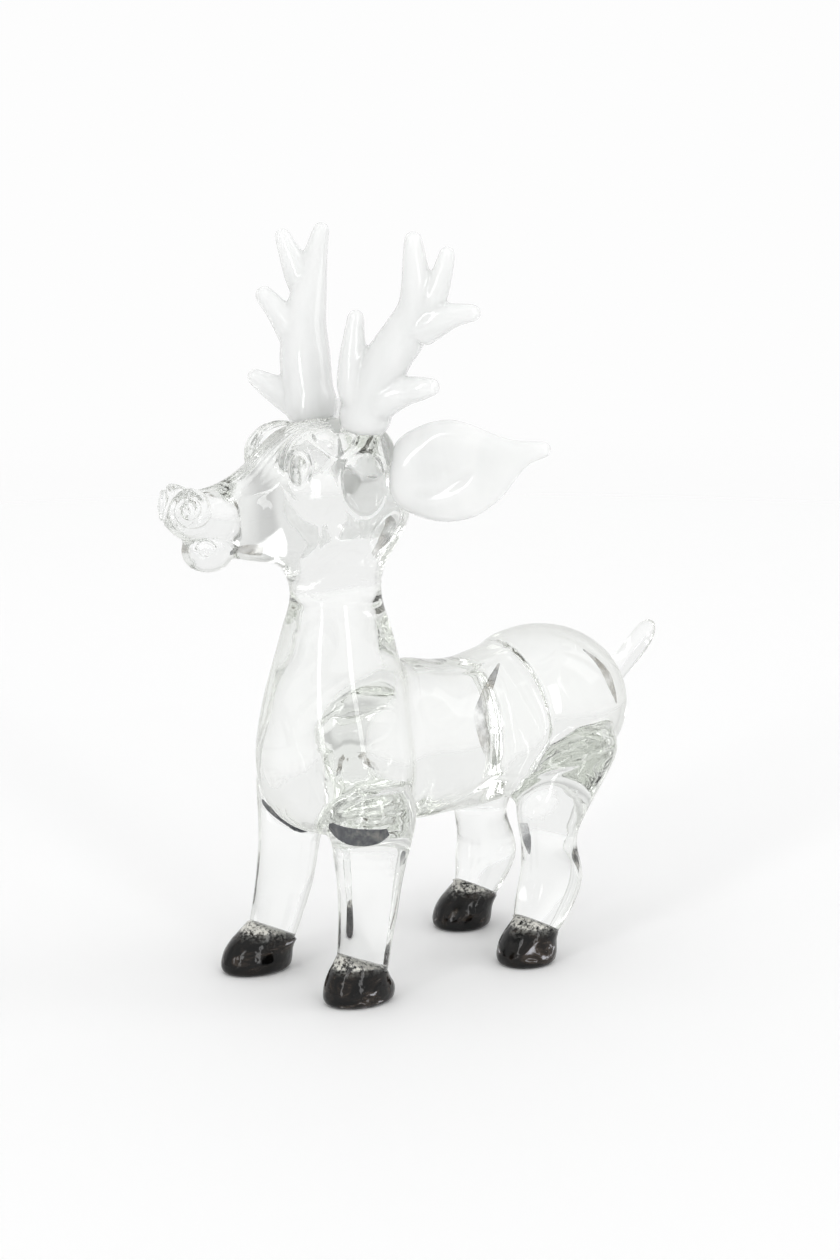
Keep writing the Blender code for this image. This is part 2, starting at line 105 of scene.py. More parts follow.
# tail: (y, z, half width, half thickness)
TAIL = [(110.0, 99.0, 4.0, 4.0), (113.0, 101.2, 6.6, 7.0), (118.0, 104.0, 7.0, 7.2), (125.0, 107.6, 5.8, 5.6),
        (132.0, 112.2, 5.3, 4.7), (138.0, 117.4, 5.5, 4.5), (142.4, 122.4, 4.8, 4.0), (144.8, 125.8, 2.9, 2.6),
        (145.6, 127.0, 0.9, 0.9)]
# antlers: rods as (x, y, z, radius) from root to point
ANTLERS = {
    "left": [
        [(15.9, -13.7, 222.0, 5.0), (16.1, -13.7, 223.2, 8.6), (17.0, -13.8, 228.0, 10.1),
         (20.5, -13.0, 238.0, 9.6),
         (26.5, -10.4, 250.0, 8.9), (33.0, -6.4, 261.0, 8.4), (37.2, -4.4, 270.0, 7.3),
         (38.6, -5.2, 279.0, 6.0), (38.9, -6.4, 288.0, 4.7), (39.4, -7.4, 296.0, 3.5)],
        [(38.0, -3.6, 262.5, 7.2), (44.0, -0.2, 266.0, 6.4), (50.0, 4.0, 268.4, 4.6), (55.6, 8.0, 269.4, 3.4)],
        [(39.0, -3.6, 267.0, 5.8), (43.8, -0.6, 276.0, 5.0), (46.4, 1.1, 284.6, 3.9), (48.0, 1.9, 291.0, 3.1)],
        [(18.5, -16.0, 231.0, 6.4), (17.6, -19.2, 240.0, 6.6), (17.4, -19.6, 250.0, 5.5),
         (17.6, -19.2, 259.0, 4.2), (17.8, -18.6, 266.0, 3.3)],
        [(20.0, -13.0, 231.0, 7.4), (27.0, -11.0, 236.0, 7.0), (34.0, -7.2, 239.0, 5.6),
         (40.0, -4.4, 240.4, 4.6), (43.6, -2.4, 241.2, 3.6)]],
    "right": [
        [(-15.9, -15.1, 222.0, 5.0), (-16.2, -15.2, 223.2, 8.6), (-17.2, -15.5, 228.0, 10.5),
         (-20.6, -14.8, 235.0, 10.0),
         (-26.4, -12.2, 247.0, 10.0), (-32.0, -8.4, 259.0, 8.6), (-36.0, -4.0, 269.0, 7.4),
         (-39.4, 0.6, 279.5, 5.8), (-41.0, 3.6, 287.0, 4.5), (-42.2, 6.6, 294.0, 3.4)],
        [(-36.6, -3.8, 268.0, 5.4), (-41.6, -4.6, 277.0, 5.8), (-46.4, -6.0, 286.0, 4.4), (-49.4, -7.0, 292.0, 3.2)],
        [(-26.0, -11.5, 248.0, 6.8), (-32.0, -14.0, 255.5, 6.2), (-38.0, -16.2, 262.8, 5.0),
         (-45.0, -18.6, 269.6, 3.8)],
        [(-18.5, -16.0, 228.0, 7.6), (-25.0, -19.6, 231.4, 7.0), (-33.4, -22.8, 234.6, 5.3),
         (-41.0, -25.6, 238.0, 3.6)]],
}
# ovals pressed into or raised from the skin, the same on both sides:
# centre, the way it faces, half length, half height, turn in degrees, swell inside, groove round it
OVALS = [
    ((18.1, -45.0, 210.9), (0.86, -0.47, 0.05), 4.4, 6.9, 0.0, 0.7, 0.8),
    ((17.0, -29.0, 220.5), (0.72, -0.22, 0.66), 9.0, 6.0, 0.0, -0.3, 0.5),
    ((23.0, -19.0, 203.0), (0.97, -0.12, 0.15), 9.4, 12.0, 8.0, 0.4, 0.2),
    ((21.5, -7.0, 183.5), (0.88, 0.28, -0.38), 6.0, 9.0, -25.0, -0.7, 0.3),
    ((14.0, -48.5, 190.0), (0.90, -0.40, -0.05), 6.0, 14.0, 6.0, -0.2, 0.0),
    ((20.5, -34.0, 190.0), (0.95, -0.28, 0.0), 6.0, 16.0, 10.0, 0.25, 0.0),
    ((7.0, -79.5, 182.0), (0.86, -0.48, 0.15), 3.4, 3.0, 0.0, 0.4, 0.7),
]
# corners of the boxes round the head and the nose, where the skin is made finer
HEAD_BOX = ((-30, -94, 164), (30, 12, 232))
NOSE_BOX = ((-14, -94, 172), (14, -72, 212))
# where joined bits slump into each other: centre, half sizes
SLUMPS = [((0.0, -16.0, 169.0), (34.0, 38.0, 14.0)), ((0.0, -14.0, 174.0), (34.0, 34.0, 14.0)),
          ((0.0, -17.0, 160.0), (34.0, 34.0, 16.0)), ((28.0, -20.0, 70.0), (22.0, 22.0, 13.0)),
          ((-28.0, -20.0, 68.0), (22.0, 22.0, 13.0)), ((0.0, 8.0, 98.0), (40.0, 12.0, 42.0)),
          ((0.0, 60.0, 98.0), (40.0, 15.0, 42.0)), ((28.0, 74.0, 74.0), (22.0, 24.0, 15.0)),
          ((-28.0, 78.0, 74.0), (22.0, 24.0, 15.0)), ((0.0, 114.0, 101.0), (12.0, 8.0, 12.0))]
# the ear's cupped front, and its folds
EAR_CUP = [((41.0, 3.0, 208.0), (0.64, -0.77, 0.05), 14.0, 11.0, 0.0, -2.2, 0.0)]
EAR_LINES = [
    (2.0, 1.7, [(33.0, -3.0, 200.0), (36.0, 0.0, 199.2), (40.0, 3.5, 200.4), (44.5, 7.5, 203.4),
                (47.5, 10.5, 206.4),
                (50.0, 13.0, 209.5)]),
    (-0.9, 2.0, [(33.0, -1.0, 217.5), (38.0, 3.0, 221.0), (44.0, 8.0, 222.0), (50.0, 14.0, 219.5),
                 (55.0, 19.5, 216.5)]),
    (-0.8, 1.8, [(35.0, 0.0, 195.0), (41.0, 5.0, 196.0), (46.0, 10.0, 199.5), (49.5, 14.0, 204.0)]),
]
# lumps added to the head: centre, half sizes, tilt
FACE = [((12.2, -36.6, 215.4), (8.2, 13.2, 9.2), 0.35), ((14.8, -43.2, 210.8), (3.8, 4.8, 6.8), 0.0),
        ((5.6, -85.2, 197.6), (7.0, 6.4, 8.4), 0.0), ((16.0, -14.0, 214.0), (11.4, 12.6, 11.4), 0.0),
        ((18.5, -6.0, 205.0), (7.0, 9.0, 11.0), 0.0),
        ((9.0, -3.5, 182.0), (10.0, 10.0, 15.0), 0.0)]
NOSTRIL = ((9.8, -88.6, 198.4), (0.70, -0.68, 0.22))
BUBBLY = [((9.8, -88.6, 198.4), 5.4), ((7.0, -79.5, 182.0), 3.4)]
# tooled lines: (depth, width) and the points they run through, the same on both sides
LINES = [
    (0.15, 2.4, [(12.3, -54.4, 200.0), (13.9, -52.0, 191.5), (13.9, -48.4, 184.0), (10.0, -45.0, 175.0)]),
    (-0.5, 1.3, [(8.5, -77.3, 199.0), (8.8, -64.2, 200.2), (11.5, -54.2, 203.5), (13.0, -49.2, 208.0)]),
    (0.6, 0.8, [(20.8, 2.0, 191.0), (20.0, -1.0, 183.0), (18.5, -9.0, 174.5), (17.0, -16.0, 172.0)]),
    (0.6, 0.8, [(5.0, -34.5, 161.0), (8.0, -33.0, 157.5), (13.0, -29.0, 157.0)]),
    (0.5, 0.8, [(9.0, -36.0, 165.0), (4.0, -38.0, 163.0), (0.0, -38.0, 160.0)]),
    (0.6, 0.9, [(19.0, -18.0, 166.0), (18.0, -10.0, 164.0), (13.0, -3.0, 163.0), (4.0, 2.0, 164.0)]),
    (0.5, 0.8, [(19.0, -16.0, 170.5), (18.0, -8.0, 168.5), (12.0, 0.0, 168.0)]),
    (0.6, 0.9, [(23.2, -35.9, 74.6), (30.7, -33.5, 81.0), (36.5, -28.2, 85.0), (39.6, -21.1, 86.0),
                (39.4, -12.0, 85.0)]),
    (0.5, 0.8, [(25.0, -36.0, 72.5), (38.3, -31.8, 77.3), (43.9, -21.7, 79.5), (41.0, -10.0, 81.5)]),
    (0.5, 0.9, [(6.0, -44.0, 79.0), (2.0, -42.0, 72.0), (8.0, -36.0, 65.5), (14.0, -30.0, 63.0)]),
    (0.45, 1.7, [(5.0, 12.0, 125.5), (7.0, 30.0, 124.0), (5.0, 50.0, 124.5), (7.0, 68.0, 128.0)]),
    (0.4, 1.6, [(11.0, 10.0, 124.0), (13.0, 26.0, 122.5), (12.0, 42.0, 121.0), (9.0, 58.0, 124.5)]),
    (0.6, 1.9, [(10.0, 84.0, 131.0), (17.0, 92.0, 127.0), (23.0, 99.0, 119.0), (25.5, 104.0, 110.0)]),
    (0.5, 1.8, [(19.0, 78.0, 127.0), (24.0, 88.0, 122.0), (28.0, 97.0, 114.0), (28.5, 102.0, 105.0)]),
    (0.6, 1.5, [(20.0, 10.0, 70.5), (24.9, 29.9, 74.5), (28.5, 40.6, 79.5), (29.0, 50.0, 78.0),
                (27.0, 56.0, 77.0), (33.6, 61.9, 80.4), (41.5, 70.4, 83.4), (44.5, 82.0, 86.0), (43.0, 94.0, 88.0)]),
    (-0.5, 1.4, [(33.0, 60.0, 84.0), (41.0, 69.0, 86.4), (44.5, 80.0, 88.6), (43.0, 92.0, 91.0)]),
    (0.5, 0.8, [(27.5, 42.0, 84.0), (29.5, 48.0, 87.5), (30.0, 54.0, 88.0)]),
    (0.35, 0.6, [(30.4, 24.0, 98.5), (30.2, 32.0, 100.6), (29.9, 38.0, 100.4), (30.2, 44.0, 99.0)]),
]
# sheets laid just under the skin that paint in shade: the collars are dark, painting the reflections of the black
# hooves at the leg tops, the rest are grey painted shade marks; path, half widths, and depth under the skin
FILMS = {
    "front_right_collar": ([(-29.0, -33.6, 70.0), (-27.7, -33.2, 68.8), (-21.0, -31.9, 65.2), (-17.6, -29.4, 62.6),
                            (-15.8, -25.9, 60.0), (-15.0, -22.6, 58.4), (-14.9, -20.2, 57.6)],
                           (0.5, 1.4, 1.9, 1.8, 1.6, 1.2, 0.4), 1.2),
    "front_left_collar": ([(22.2, -35.0, 71.4), (24.6, -35.2, 70.2), (32.7, -35.0, 69.2), (39.0, -31.4, 69.2),
                           (42.6, -26.6, 69.9), (44.4, -22.6, 71.4)], (1.3, 2.6, 3.4, 3.5, 2.9, 1.4), 1.0),
    "rear_left_hock": ([(26.2, 57.4, 58.0), (26.8, 57.4, 55.0), (27.3, 57.4, 50.0), (28.0, 57.8, 45.0)],
                       (2.9, 3.2, 2.6, 0.6), 1.0),
    "front_left_edge": ([(41.6, -13.6, 62.0), (41.8, -13.7, 59.9), (39.1, -13.1, 49.5), (38.1, -14.4, 39.4),
                         (38.3, -17.4, 29.8)], (0.6, 1.7, 1.5, 0.8, 0.3), 1.0),
    "flank": ([(12.0, 55.0, 122.0), (18.3, 46.5, 117.0), (24.0, 38.5, 111.0), (27.6, 34.2, 105.6),
               (30.2, 34.4, 98.0), (30.6, 37.0, 91.0), (29.6, 40.5, 85.0)],
              (0.4, 1.6, 2.2, 3.0, 2.8, 2.6, 0.6), 1.6),
    "quarter": ([(20.0, 92.0, 124.0), (25.0, 97.0, 118.0), (28.5, 100.0, 110.0), (29.5, 102.0, 102.0)],
                (0.4, 1.8, 2.6, 0.4), 1.6),
    "jaw": ([(22.4, -7.0, 189.0), (21.6, -5.0, 184.0), (19.5, -7.0, 178.0), (18.4, -11.0, 174.0)],
            (1.4, 3.2, 3.0, 1.0), 1.4),
    "muzzle": ([(8.0, -68.0, 179.0), (9.6, -62.0, 178.0), (11.0, -56.0, 176.6)], (0.6, 2.4, 2.6), 1.4),
}
# ears: (x, y, z, half height, half thickness) from the root to the point
EAR = [(20.5, -4.5, 205.5, 7.5, 4.6), (23.0, -2.5, 205.5, 12.8, 6.2), (29.0, 2.2, 206.2, 17.2, 6.8),
       (36.0, 8.2, 207.2, 19.6, 6.8), (43.0, 14.4, 208.6, 18.9, 6.2), (49.5, 20.1, 210.6, 14.8, 5.2),
       (54.6, 24.6, 212.8, 9.6, 4.3), (59.0, 28.4, 214.8, 5.6, 3.6), (63.4, 32.2, 216.4, 3.7, 3.1),
       (66.6, 35.0, 217.2, 2.8, 2.5), (67.8, 36.0, 217.4, 1.0, 0.9)]


# ------------------------------------------------------------------ shader maths

class Value:
    """A shader socket that can be written into arithmetic."""

    def __init__(self, paint, socket):
        self.paint, self.socket = paint, socket

    def _math(self, operation, a, b):
        return self.paint.node("ShaderNodeMath", {"operation": operation}, {0: a, 1: b}).out()

    def __add__(self, other):
        return self._math("ADD", self, other)

    def __mul__(self, other):
        return self._math("MULTIPLY", self, other)

    def __sub__(self, other):
        return self._math("SUBTRACT", self, other)

    def __rsub__(self, other):
        return self._math("SUBTRACT", other, self)

    def __abs__(self):
        return self._math("ABSOLUTE", self, 0.0)

    __radd__ = __add__
    __rmul__ = __mul__


class Made:
    """A node just added, with its outputs as values."""

    def __init__(self, paint, node):
        self.paint, self.node = paint, node

    def out(self, name=0):
        return Value(self.paint, self.node.outputs[name])


class Paint:
    """A node tree being written."""

    def __init__(self, tree):
        self.tree = tree
        tree.nodes.clear()

    def node(self, kind, settings=None, inputs=None):
        made = self.tree.nodes.new(kind)
        for key, value in (settings or {}).items():
            if key == "stops":
                self._stops(made.color_ramp, value)
            else:
                setattr(made, key, value)
        for key, value in (inputs or {}).items():
            if isinstance(value, Value):
                self.tree.links.new(value.socket, made.inputs[key])
            else:
                made.inputs[key].default_value = value
        return Made(self, made)

    @staticmethod
    def _stops(ramp, stops):
        while len(ramp.elements) < len(stops):
            ramp.elements.new(0.5)
        for element, (place, colour) in zip(ramp.elements, stops):
            element.position = place
            element.color = colour

    def at(self):
        return self.node("ShaderNodeTexCoord").out("Object")

    def noise(self, scale, detail=4.0, roughness=0.5, vector=None, distortion=0.0):
        spot = vector if vector is not None else self.at()
        return self.node("ShaderNodeTexNoise", {}, {"Vector": spot, "Scale": scale, "Detail": detail,
                                                    "Roughness": roughness, "Distortion": distortion}).out(0)

    def stretched(self, scale, turn=(0.0, 0.0, 0.0)):
        return self.node("ShaderNodeMapping", {}, {"Vector": self.at(), "Scale": scale, "Rotation": turn}).out(0)

    def ramp(self, value, *stops):
        return self.node("ShaderNodeValToRGB", {"stops": stops}, {0: value}).out("Color")

    def ease(self, value, low, high):
        return self.node("ShaderNodeMapRange", {"interpolation_type": "SMOOTHSTEP"},
                         {"Value": value, "From Min": low, "From Max": high}).out(0)

    def bump(self, height, strength, distance):
        return self.node("ShaderNodeBump", {}, {"Height": height, "Strength": strength,
                                                "Distance": distance}).out(0)


def new_material(name):
    mat = bpy.data.materials.new(name)
    mat.use_nodes = True
    return mat, Paint(mat.node_tree)


def grey(value, alpha=1.0):
    return (value, value, value, alpha)


def clear_glass(settings):
    """Clear furnace glass: cords from the gather ripple the surface, with a faint green-grey body colour and painted
    shade greying it towards its edges.
    """
    mat, paint = new_material("clear_glass")
    cords = paint.noise(26.0, 3.0, 0.5, paint.stretched((1.0, 0.7, 0.35)), 0.4)
    skin = paint.noise(160.0, 2.0, 0.5)
    normal = paint.bump(cords + skin * 0.06, settings.ripple, 0.0012)
    haze = paint.noise(40.0, 4.0, 0.6)
    # painted shade: the base colour turns grey at grazing angles, drawing dark lines along the glass's edges
    rim = paint.node("ShaderNodeLayerWeight", {}, {"Blend": 0.5, "Normal": normal}).out("Facing")
    edge = paint.ramp(rim, (0.36, (0.985, 0.99, 0.985, 1.0)), (0.66, (0.80, 0.81, 0.78, 1.0)),
                      (0.94, (0.50, 0.51, 0.47, 1.0)))
    glass = paint.node("ShaderNodeBsdfPrincipled", {}, {
        "Base Color": edge, "Transmission Weight": 1.0, "IOR": 1.5,
        "Roughness": haze * 0.012, "Normal": normal})
    tint = paint.node("ShaderNodeVolumeAbsorption", {}, {"Color": tuple(settings.tint) + (1.0,),
                                                        "Density": settings.tint_density})
    paint.node("ShaderNodeOutputMaterial", {}, {"Surface": glass.out(), "Volume": tint.out()})
    return mat


def opal_glass(settings):
    """Milky white glass: cloudy inside, thinner and greyer in wisps, fire-polished outside, with painted shade
    greying its outlines.
    """
    mat, paint = new_material("white_opal_glass")
    wisps = paint.noise(38.0, 5.0, 0.55, paint.stretched((1.0, 1.0, 0.3)), 0.9)
    cloud = paint.noise(12.0, 3.0, 0.5)
    milk = paint.ramp(wisps * 0.7 + cloud * 0.3, (0.30, (0.77, 0.778, 0.77, 1.0)),
                      (0.52, (0.82, 0.826, 0.82, 1.0)), (0.72, (0.87, 0.872, 0.865, 1.0)))
    # painted shade: the milk darkens towards grazing angles, drawing grey outlines
    rim = paint.node("ShaderNodeLayerWeight", {}, {"Blend": 0.5}).out("Facing")
    milk = paint.node("ShaderNodeMix", {"data_type": "RGBA", "blend_type": "MULTIPLY"},
                      {0: paint.ease(rim, 0.55, 0.95), 6: milk, 7: (0.80, 0.81, 0.80, 1.0)}).out(2)
    swell = paint.noise(30.0, 2.0, 0.5, paint.stretched((1.0, 1.0, 0.4)), 0.3)
    normal = paint.bump(swell, 0.35, 0.0012)
    opal = paint.node("ShaderNodeBsdfPrincipled", {}, {
        "Base Color": milk, "Roughness": 0.06 + cloud * 0.07, "IOR": 1.5, "Subsurface Weight": 1.0,
        "Subsurface Radius": (1.0, 1.0, 1.0), "Subsurface Scale": 0.006, "Normal": normal,
        "Coat Weight": 1.0, "Coat Roughness": 0.03})
    paint.node("ShaderNodeOutputMaterial", {}, {"Surface": opal.out()})
    return mat


def black_glass(settings):
    """Black glass with faint brown streaks and pale grey streaks painted in as highlights, and a mottled silvery
    band where it is fused to the clear leg.
    """
    mat, paint = new_material("black_glass")
    streaks = paint.noise(80.0, 6.0, 0.62, paint.stretched((1.0, 0.6, 1.6), (0.5, 0.2, 0.0)), 1.6)
    # the brown stops are the glass's own streaks; the pale grey stop is a painted highlight
    smears_and_painted_highlights = paint.ramp(streaks, (0.46, grey(0.002)), (0.56, (0.012, 0.009, 0.007, 1.0)),
                       (0.62, (0.045, 0.034, 0.026, 1.0)), (0.68, (0.42, 0.42, 0.45, 1.0)))
    height = paint.node("ShaderNodeSeparateXYZ", {}, {0: paint.at()}).out("Z")
    grains = paint.noise(700.0, 3.0, 0.7)
    band = paint.ease(height + (paint.noise(120.0) - 0.5) * 0.008, 0.0125, 0.0195)
    fused = band * paint.ease(grains, 0.40, 0.62)
    speckled = paint.node("ShaderNodeMix", {"data_type": "RGBA"}, {0: fused, 6: smears_and_painted_highlights,
                                                                7: (0.42, 0.42, 0.39, 1.0)}).out(2)
    froth = paint.node("ShaderNodeAttribute", {"attribute_name": "froth"}).out("Fac")
    bubbly = froth * paint.ease(grains * 0.6 + paint.noise(150.0) * 0.4, 0.42, 0.56)
    colour = paint.node("ShaderNodeMix", {"data_type": "RGBA"}, {0: bubbly, 6: speckled,
                                                              7: (0.66, 0.65, 0.60, 1.0)}).out(2)
    dents = paint.noise(95.0, 3.0, 0.55)
    normal = paint.bump(dents + grains * band * 0.25, 0.6, 0.0014)
    glass = paint.node("ShaderNodeBsdfPrincipled", {}, {
        "Base Color": colour, "Roughness": 0.04 + paint.noise(30.0) * 0.08, "IOR": 1.5,
        "Specular IOR Level": 0.3, "Normal": normal})
    paint.node("ShaderNodeOutputMaterial", {}, {"Surface": glass.out()})
    return mat


def smoke_film(settings):
    """A dark sheet painting in the reflection of the black hoof at the top of a leg: mottled blue-grey, warmer and
    clearer at its rims.
    """
    mat, paint = new_material("smoke_film")
    mottle = paint.noise(420.0, 4.0, 0.7)
    drift = paint.noise(90.0, 3.0, 0.5)
    colour = paint.ramp(mottle * 0.6 + drift * 0.4, (0.36, (0.035, 0.040, 0.050, 1.0)),
                        (0.50, (0.10, 0.108, 0.125, 1.0)), (0.64, (0.30, 0.30, 0.27, 1.0)))
    film = paint.node("ShaderNodeBsdfPrincipled", {}, {
        "Base Color": colour, "Roughness": 0.25, "Alpha": paint.ease(drift * 0.5 + mottle * 0.5, 0.20, 0.42)})
    paint.node("ShaderNodeOutputMaterial", {}, {"Surface": film.out()})
    return mat


def haze_film(settings):
    """A sheet painting in shade marks seen in the glass: mostly clear, grey in drifts and amber where it thins."""
    mat, paint = new_material("haze_film")
    drift = paint.noise(70.0, 4.0, 0.6)
    warm = paint.noise(45.0, 2.0, 0.5)
    colour = paint.ramp(warm, (0.42, (0.20, 0.21, 0.23, 1.0)), (0.58, (0.42, 0.38, 0.30, 1.0)))
    film = paint.node("ShaderNodeBsdfPrincipled", {}, {
        "Base Color": colour, "Roughness": 0.3, "Alpha": paint.ease(drift, 0.32, 0.68) * 0.62})
    paint.node("ShaderNodeOutputMaterial", {}, {"Surface": film.out()})
    return mat


# ------------------------------------------------------------------ modelling

def place(x, y, z):
    """A point laid out in millimetres, in the row frame in metres."""
    return Vector((x, y, z)) * MM + SHIFT


def fair(rows, between):
    """Rows of numbers with more rows read from the smooth curve through them."""
    out = []
    for i in range(len(rows) - 1):
        a, b, c, d = (rows[min(max(i + k, 0), len(rows) - 1)] for k in (-1, 0, 1, 2))
        for k in range(between):
            t = k / between
            out.append([0.5 * (2 * q + (r - p) * t + (2 * p - 5 * q + 4 * r - s) * t * t
                               + (3 * q - p - 3 * r + s) * t ** 3) for p, q, r, s in zip(a, b, c, d)])
    out.append(list(rows[-1]))
    return out


def oval(centre, across, over):
    """A ring matrix from millimetre half axes."""
    a, o = Vector(across) * MM, Vector(over) * MM
    n = a.cross(o).normalized()
    m = Matrix.Identity(4)
    for row in range(3):
        m[row][0], m[row][1], m[row][2], m[row][3] = a[row], o[row], n[row] * MM, centre[row]
    return m


def loft(bm, rings, sides=56):
    """A closed body drawn out ring by ring and capped at both ends."""
    made = bmesh.ops.create_circle(bm, cap_ends=True, segments=sides, radius=1.0, matrix=rings[0])
    edges = list({e for v in made["verts"] for e in v.link_edges})
    held = rings[0]
    for nxt in rings[1:]:
        geom = bmesh.ops.extrude_edge_only(bm, edges=edges)["geom"]
        verts = [g for g in geom if isinstance(g, bmesh.types.BMVert)]
        fresh = set(verts)
        edges = [g for g in geom if isinstance(g, bmesh.types.BMEdge) and set(g.verts) <= fresh]
        bmesh.ops.transform(bm, matrix=nxt @ held.inverted(), verts=verts)
        held = nxt
    bmesh.ops.edgeloop_fill(bm, edges=edges)


def along_y(rows):
    return [oval(place(0, y, z), (w, 0, 0), (0, 0, h)) for y, z, w, h in rows]


def up_z(rows, x=0.0):
    return [oval(place(x, y, z), (w, 0, 0), (0, d, 0)) for z, y, w, d in rows]


def rod_rings(rows):
    """Round rings square to a path given as (x, y, z, radius), with a half-round point."""
    rows = fair(rows, 5)
    last, ahead = Vector(rows[-1][:3]), (Vector(rows[-1][:3]) - Vector(rows[-2][:3])).normalized()
    radius = rows[-1][3]
    for angle in (20, 40, 58, 74, 84):
        a = radians(angle)
        rows.append(list(last + ahead * radius * sin(a)) + [radius * cos(a)])
    rings, side = [], None
    for i, row in enumerate(rows):
        step = Vector(rows[min(i + 1, len(rows) - 1)][:3]) - Vector(rows[max(i - 1, 0)][:3])
        step.normalize()
        side = step.orthogonal() if side is None else side
        side = (side - step * side.dot(step)).normalized()
        rings.append(oval(place(*row[:3]), side * row[3], step.cross(side) * row[3]))
    return rings


def bits_to_object(name, bodies):
    """One object holding several closed bodies, each given as ring matrices."""
    mesh = bpy.data.meshes.new(name)
    bm = bmesh.new()
    for rings in bodies:
        one = bmesh.new()
        loft(one, rings)
        bmesh.ops.recalc_face_normals(one, faces=one.faces)
        scrap = bpy.data.meshes.new("scrap")
        one.to_mesh(scrap)
        one.free()
        bm.from_mesh(scrap)
        bpy.data.meshes.remove(scrap)
    bm.to_mesh(mesh)
    bm.free()
    obj = bpy.data.objects.new(name, mesh)
    bpy.context.scene.collection.objects.link(obj)
    return obj


def melt(obj, grain, passes):
    """Fuses the overlapping bodies of an object into one skin and lets its creases soften."""
    fuse = obj.modifiers.new("fuse", 'REMESH')
    fuse.mode = 'VOXEL'
    fuse.voxel_size = grain * MM
    soften = obj.modifiers.new("soften", 'SMOOTH')
    soften.factor = 0.5
    soften.iterations = passes
    keep_result(obj)


def keep_result(obj):
    """Makes the modifiers' result the object's own mesh."""
    bpy.context.view_layer.update()
    graph = bpy.context.evaluated_depsgraph_get()
    mesh = bpy.data.meshes.new_from_object(obj.evaluated_get(graph))
    old = obj.data
    obj.modifiers.clear()
    obj.data = mesh
    mesh.name = obj.name
    bpy.data.meshes.remove(old)


def finish_piece(obj, mat, nodes):
    """Smooth faces, its glass, its place in the frame and the CAD nodes it stands for."""
    bm = bmesh.new()
    bm.from_mesh(obj.data)
    bmesh.ops.recalc_face_normals(bm, faces=bm.faces)
    bm.to_mesh(obj.data)
    bm.free()
    obj.data.shade_smooth()
    obj.data.materials.clear()
    obj.data.materials.append(mat)
    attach(obj, "root")
    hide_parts(*nodes)


def material(name, maker, settings):
    return bpy.data.materials.get(name + "_done") or rename(maker(settings), name + "_done")


def rename(mat, name):
    mat.name = name
    return mat


# ------------------------------------------------------------------ sizes a maker would change

class ClearGlassSettings(bpy.types.PropertyGroup):
    grain: FloatProperty(name="Skin grain", description="Spacing of the fused skin in millimetres",
                         default=1.1, min=0.6, max=3.0)
    soften: IntProperty(name="Softening", description="How far the creases melt", default=16, min=0, max=60)
    slump: IntProperty(name="Slump", description="How far the joints between bits melt away", default=72,
                       min=0, max=200)
    ripple: FloatProperty(name="Ripple", description="Strength of the cords in the surface", default=0.12,
                          min=0.0, max=1.0)
    tint: FloatVectorProperty(name="Tint", description="Body colour of the clear glass", subtype='COLOR',
                              default=(0.80, 0.83, 0.77), min=0.0, max=1.0)
    tint_density: FloatProperty(name="Tint density", description="How quickly the body colour builds up",
                                default=2.6, min=0.0, max=50.0)


class OpalGlassSettings(bpy.types.PropertyGroup):
    grain: FloatProperty(name="Antler grain", description="Spacing of the antler skin in millimetres",
                         default=0.7, min=0.4, max=2.0)
    soften: IntProperty(name="Softening", description="How far the forks melt together", default=14,
                        min=0, max=60)


class StageSettings(bpy.types.PropertyGroup):
    azimuth: FloatProperty(name="Azimuth", description="Where the camera stands round the animal",
                           subtype='ANGLE', default=radians(54.0))
    elevation: FloatProperty(name="Elevation", description="How far above level the camera stands",
                             subtype='ANGLE', default=radians(12.0))
    distance: FloatProperty(name="Distance", description="Camera distance from its target", unit='LENGTH',
                            default=1.1454)
    lens: FloatProperty(name="Lens", description="Focal length in millimetres", default=85.0)
    floor_radius: FloatProperty(name="Floor radius", description="Radius of the pale floor", unit='LENGTH',
                                default=1.6)


# ------------------------------------------------------------------ operators

class REINDEER_OT_clear_body(bpy.types.Operator):
    """Gathers and fuses the clear head, chest, barrel, rump, legs and tail"""
    bl_idname = "reindeer.clear_body"
    bl_label = "Clear body"

    def execute(self, context):
        settings = context.scene.reindeer_clear
        bodies = [along_y(fair(HEAD, 4)), up_z(fair(CHEST, 5)), along_y(fair(BARREL, 5)), along_y(fair(RUMP, 5))]
        for side, x, rows in LEGS.values():
            bodies.append([oval(place(side * x, y, z), (r, 0, 0), (0, r, 0)) for z, y, r in fair(rows, 5)])
        bodies.append(tail_rings())
        bodies += face_bits()
        skin = bits_to_object("clear_body", bodies)
        melt(skin, settings.grain, settings.soften)
        relax(skin, SLUMPS, settings.slump)
        refine(skin, (HEAD_BOX, NOSE_BOX))
        points, normals = to_rows(skin)
        push(skin, points, normals, face_lift(points))
        points, normals = to_rows(skin)
        wrinkle(skin, points, normals, strength=0.5, size=1.3)
        nodes = ["head", "neck_and_chest", "barrel", "rump", "tail", "lower_jaw", "lip_curl"]
        nodes += ["leg_" + where for where in LEGS]
        nodes += [part + side for part in ("brow_", "eye_", "nostril_") for side in ("left", "right")]
        finish_piece(skin, material("clear_glass", clear_glass, settings), nodes)
        return {'FINISHED'}


def tail_rings():
    rows = fair(TAIL, 4)
    rings = []
    for i, (y, z, wide, thick) in enumerate(rows):
        before, after = rows[max(i - 1, 0)], rows[min(i + 1, len(rows) - 1)]
        step = Vector((0, after[0] - before[0], after[1] - before[1])).normalized()
        rings.append(oval(place(0, y, z), (wide, 0, 0), step.cross(Vector((1, 0, 0))) * thick))
    return rings


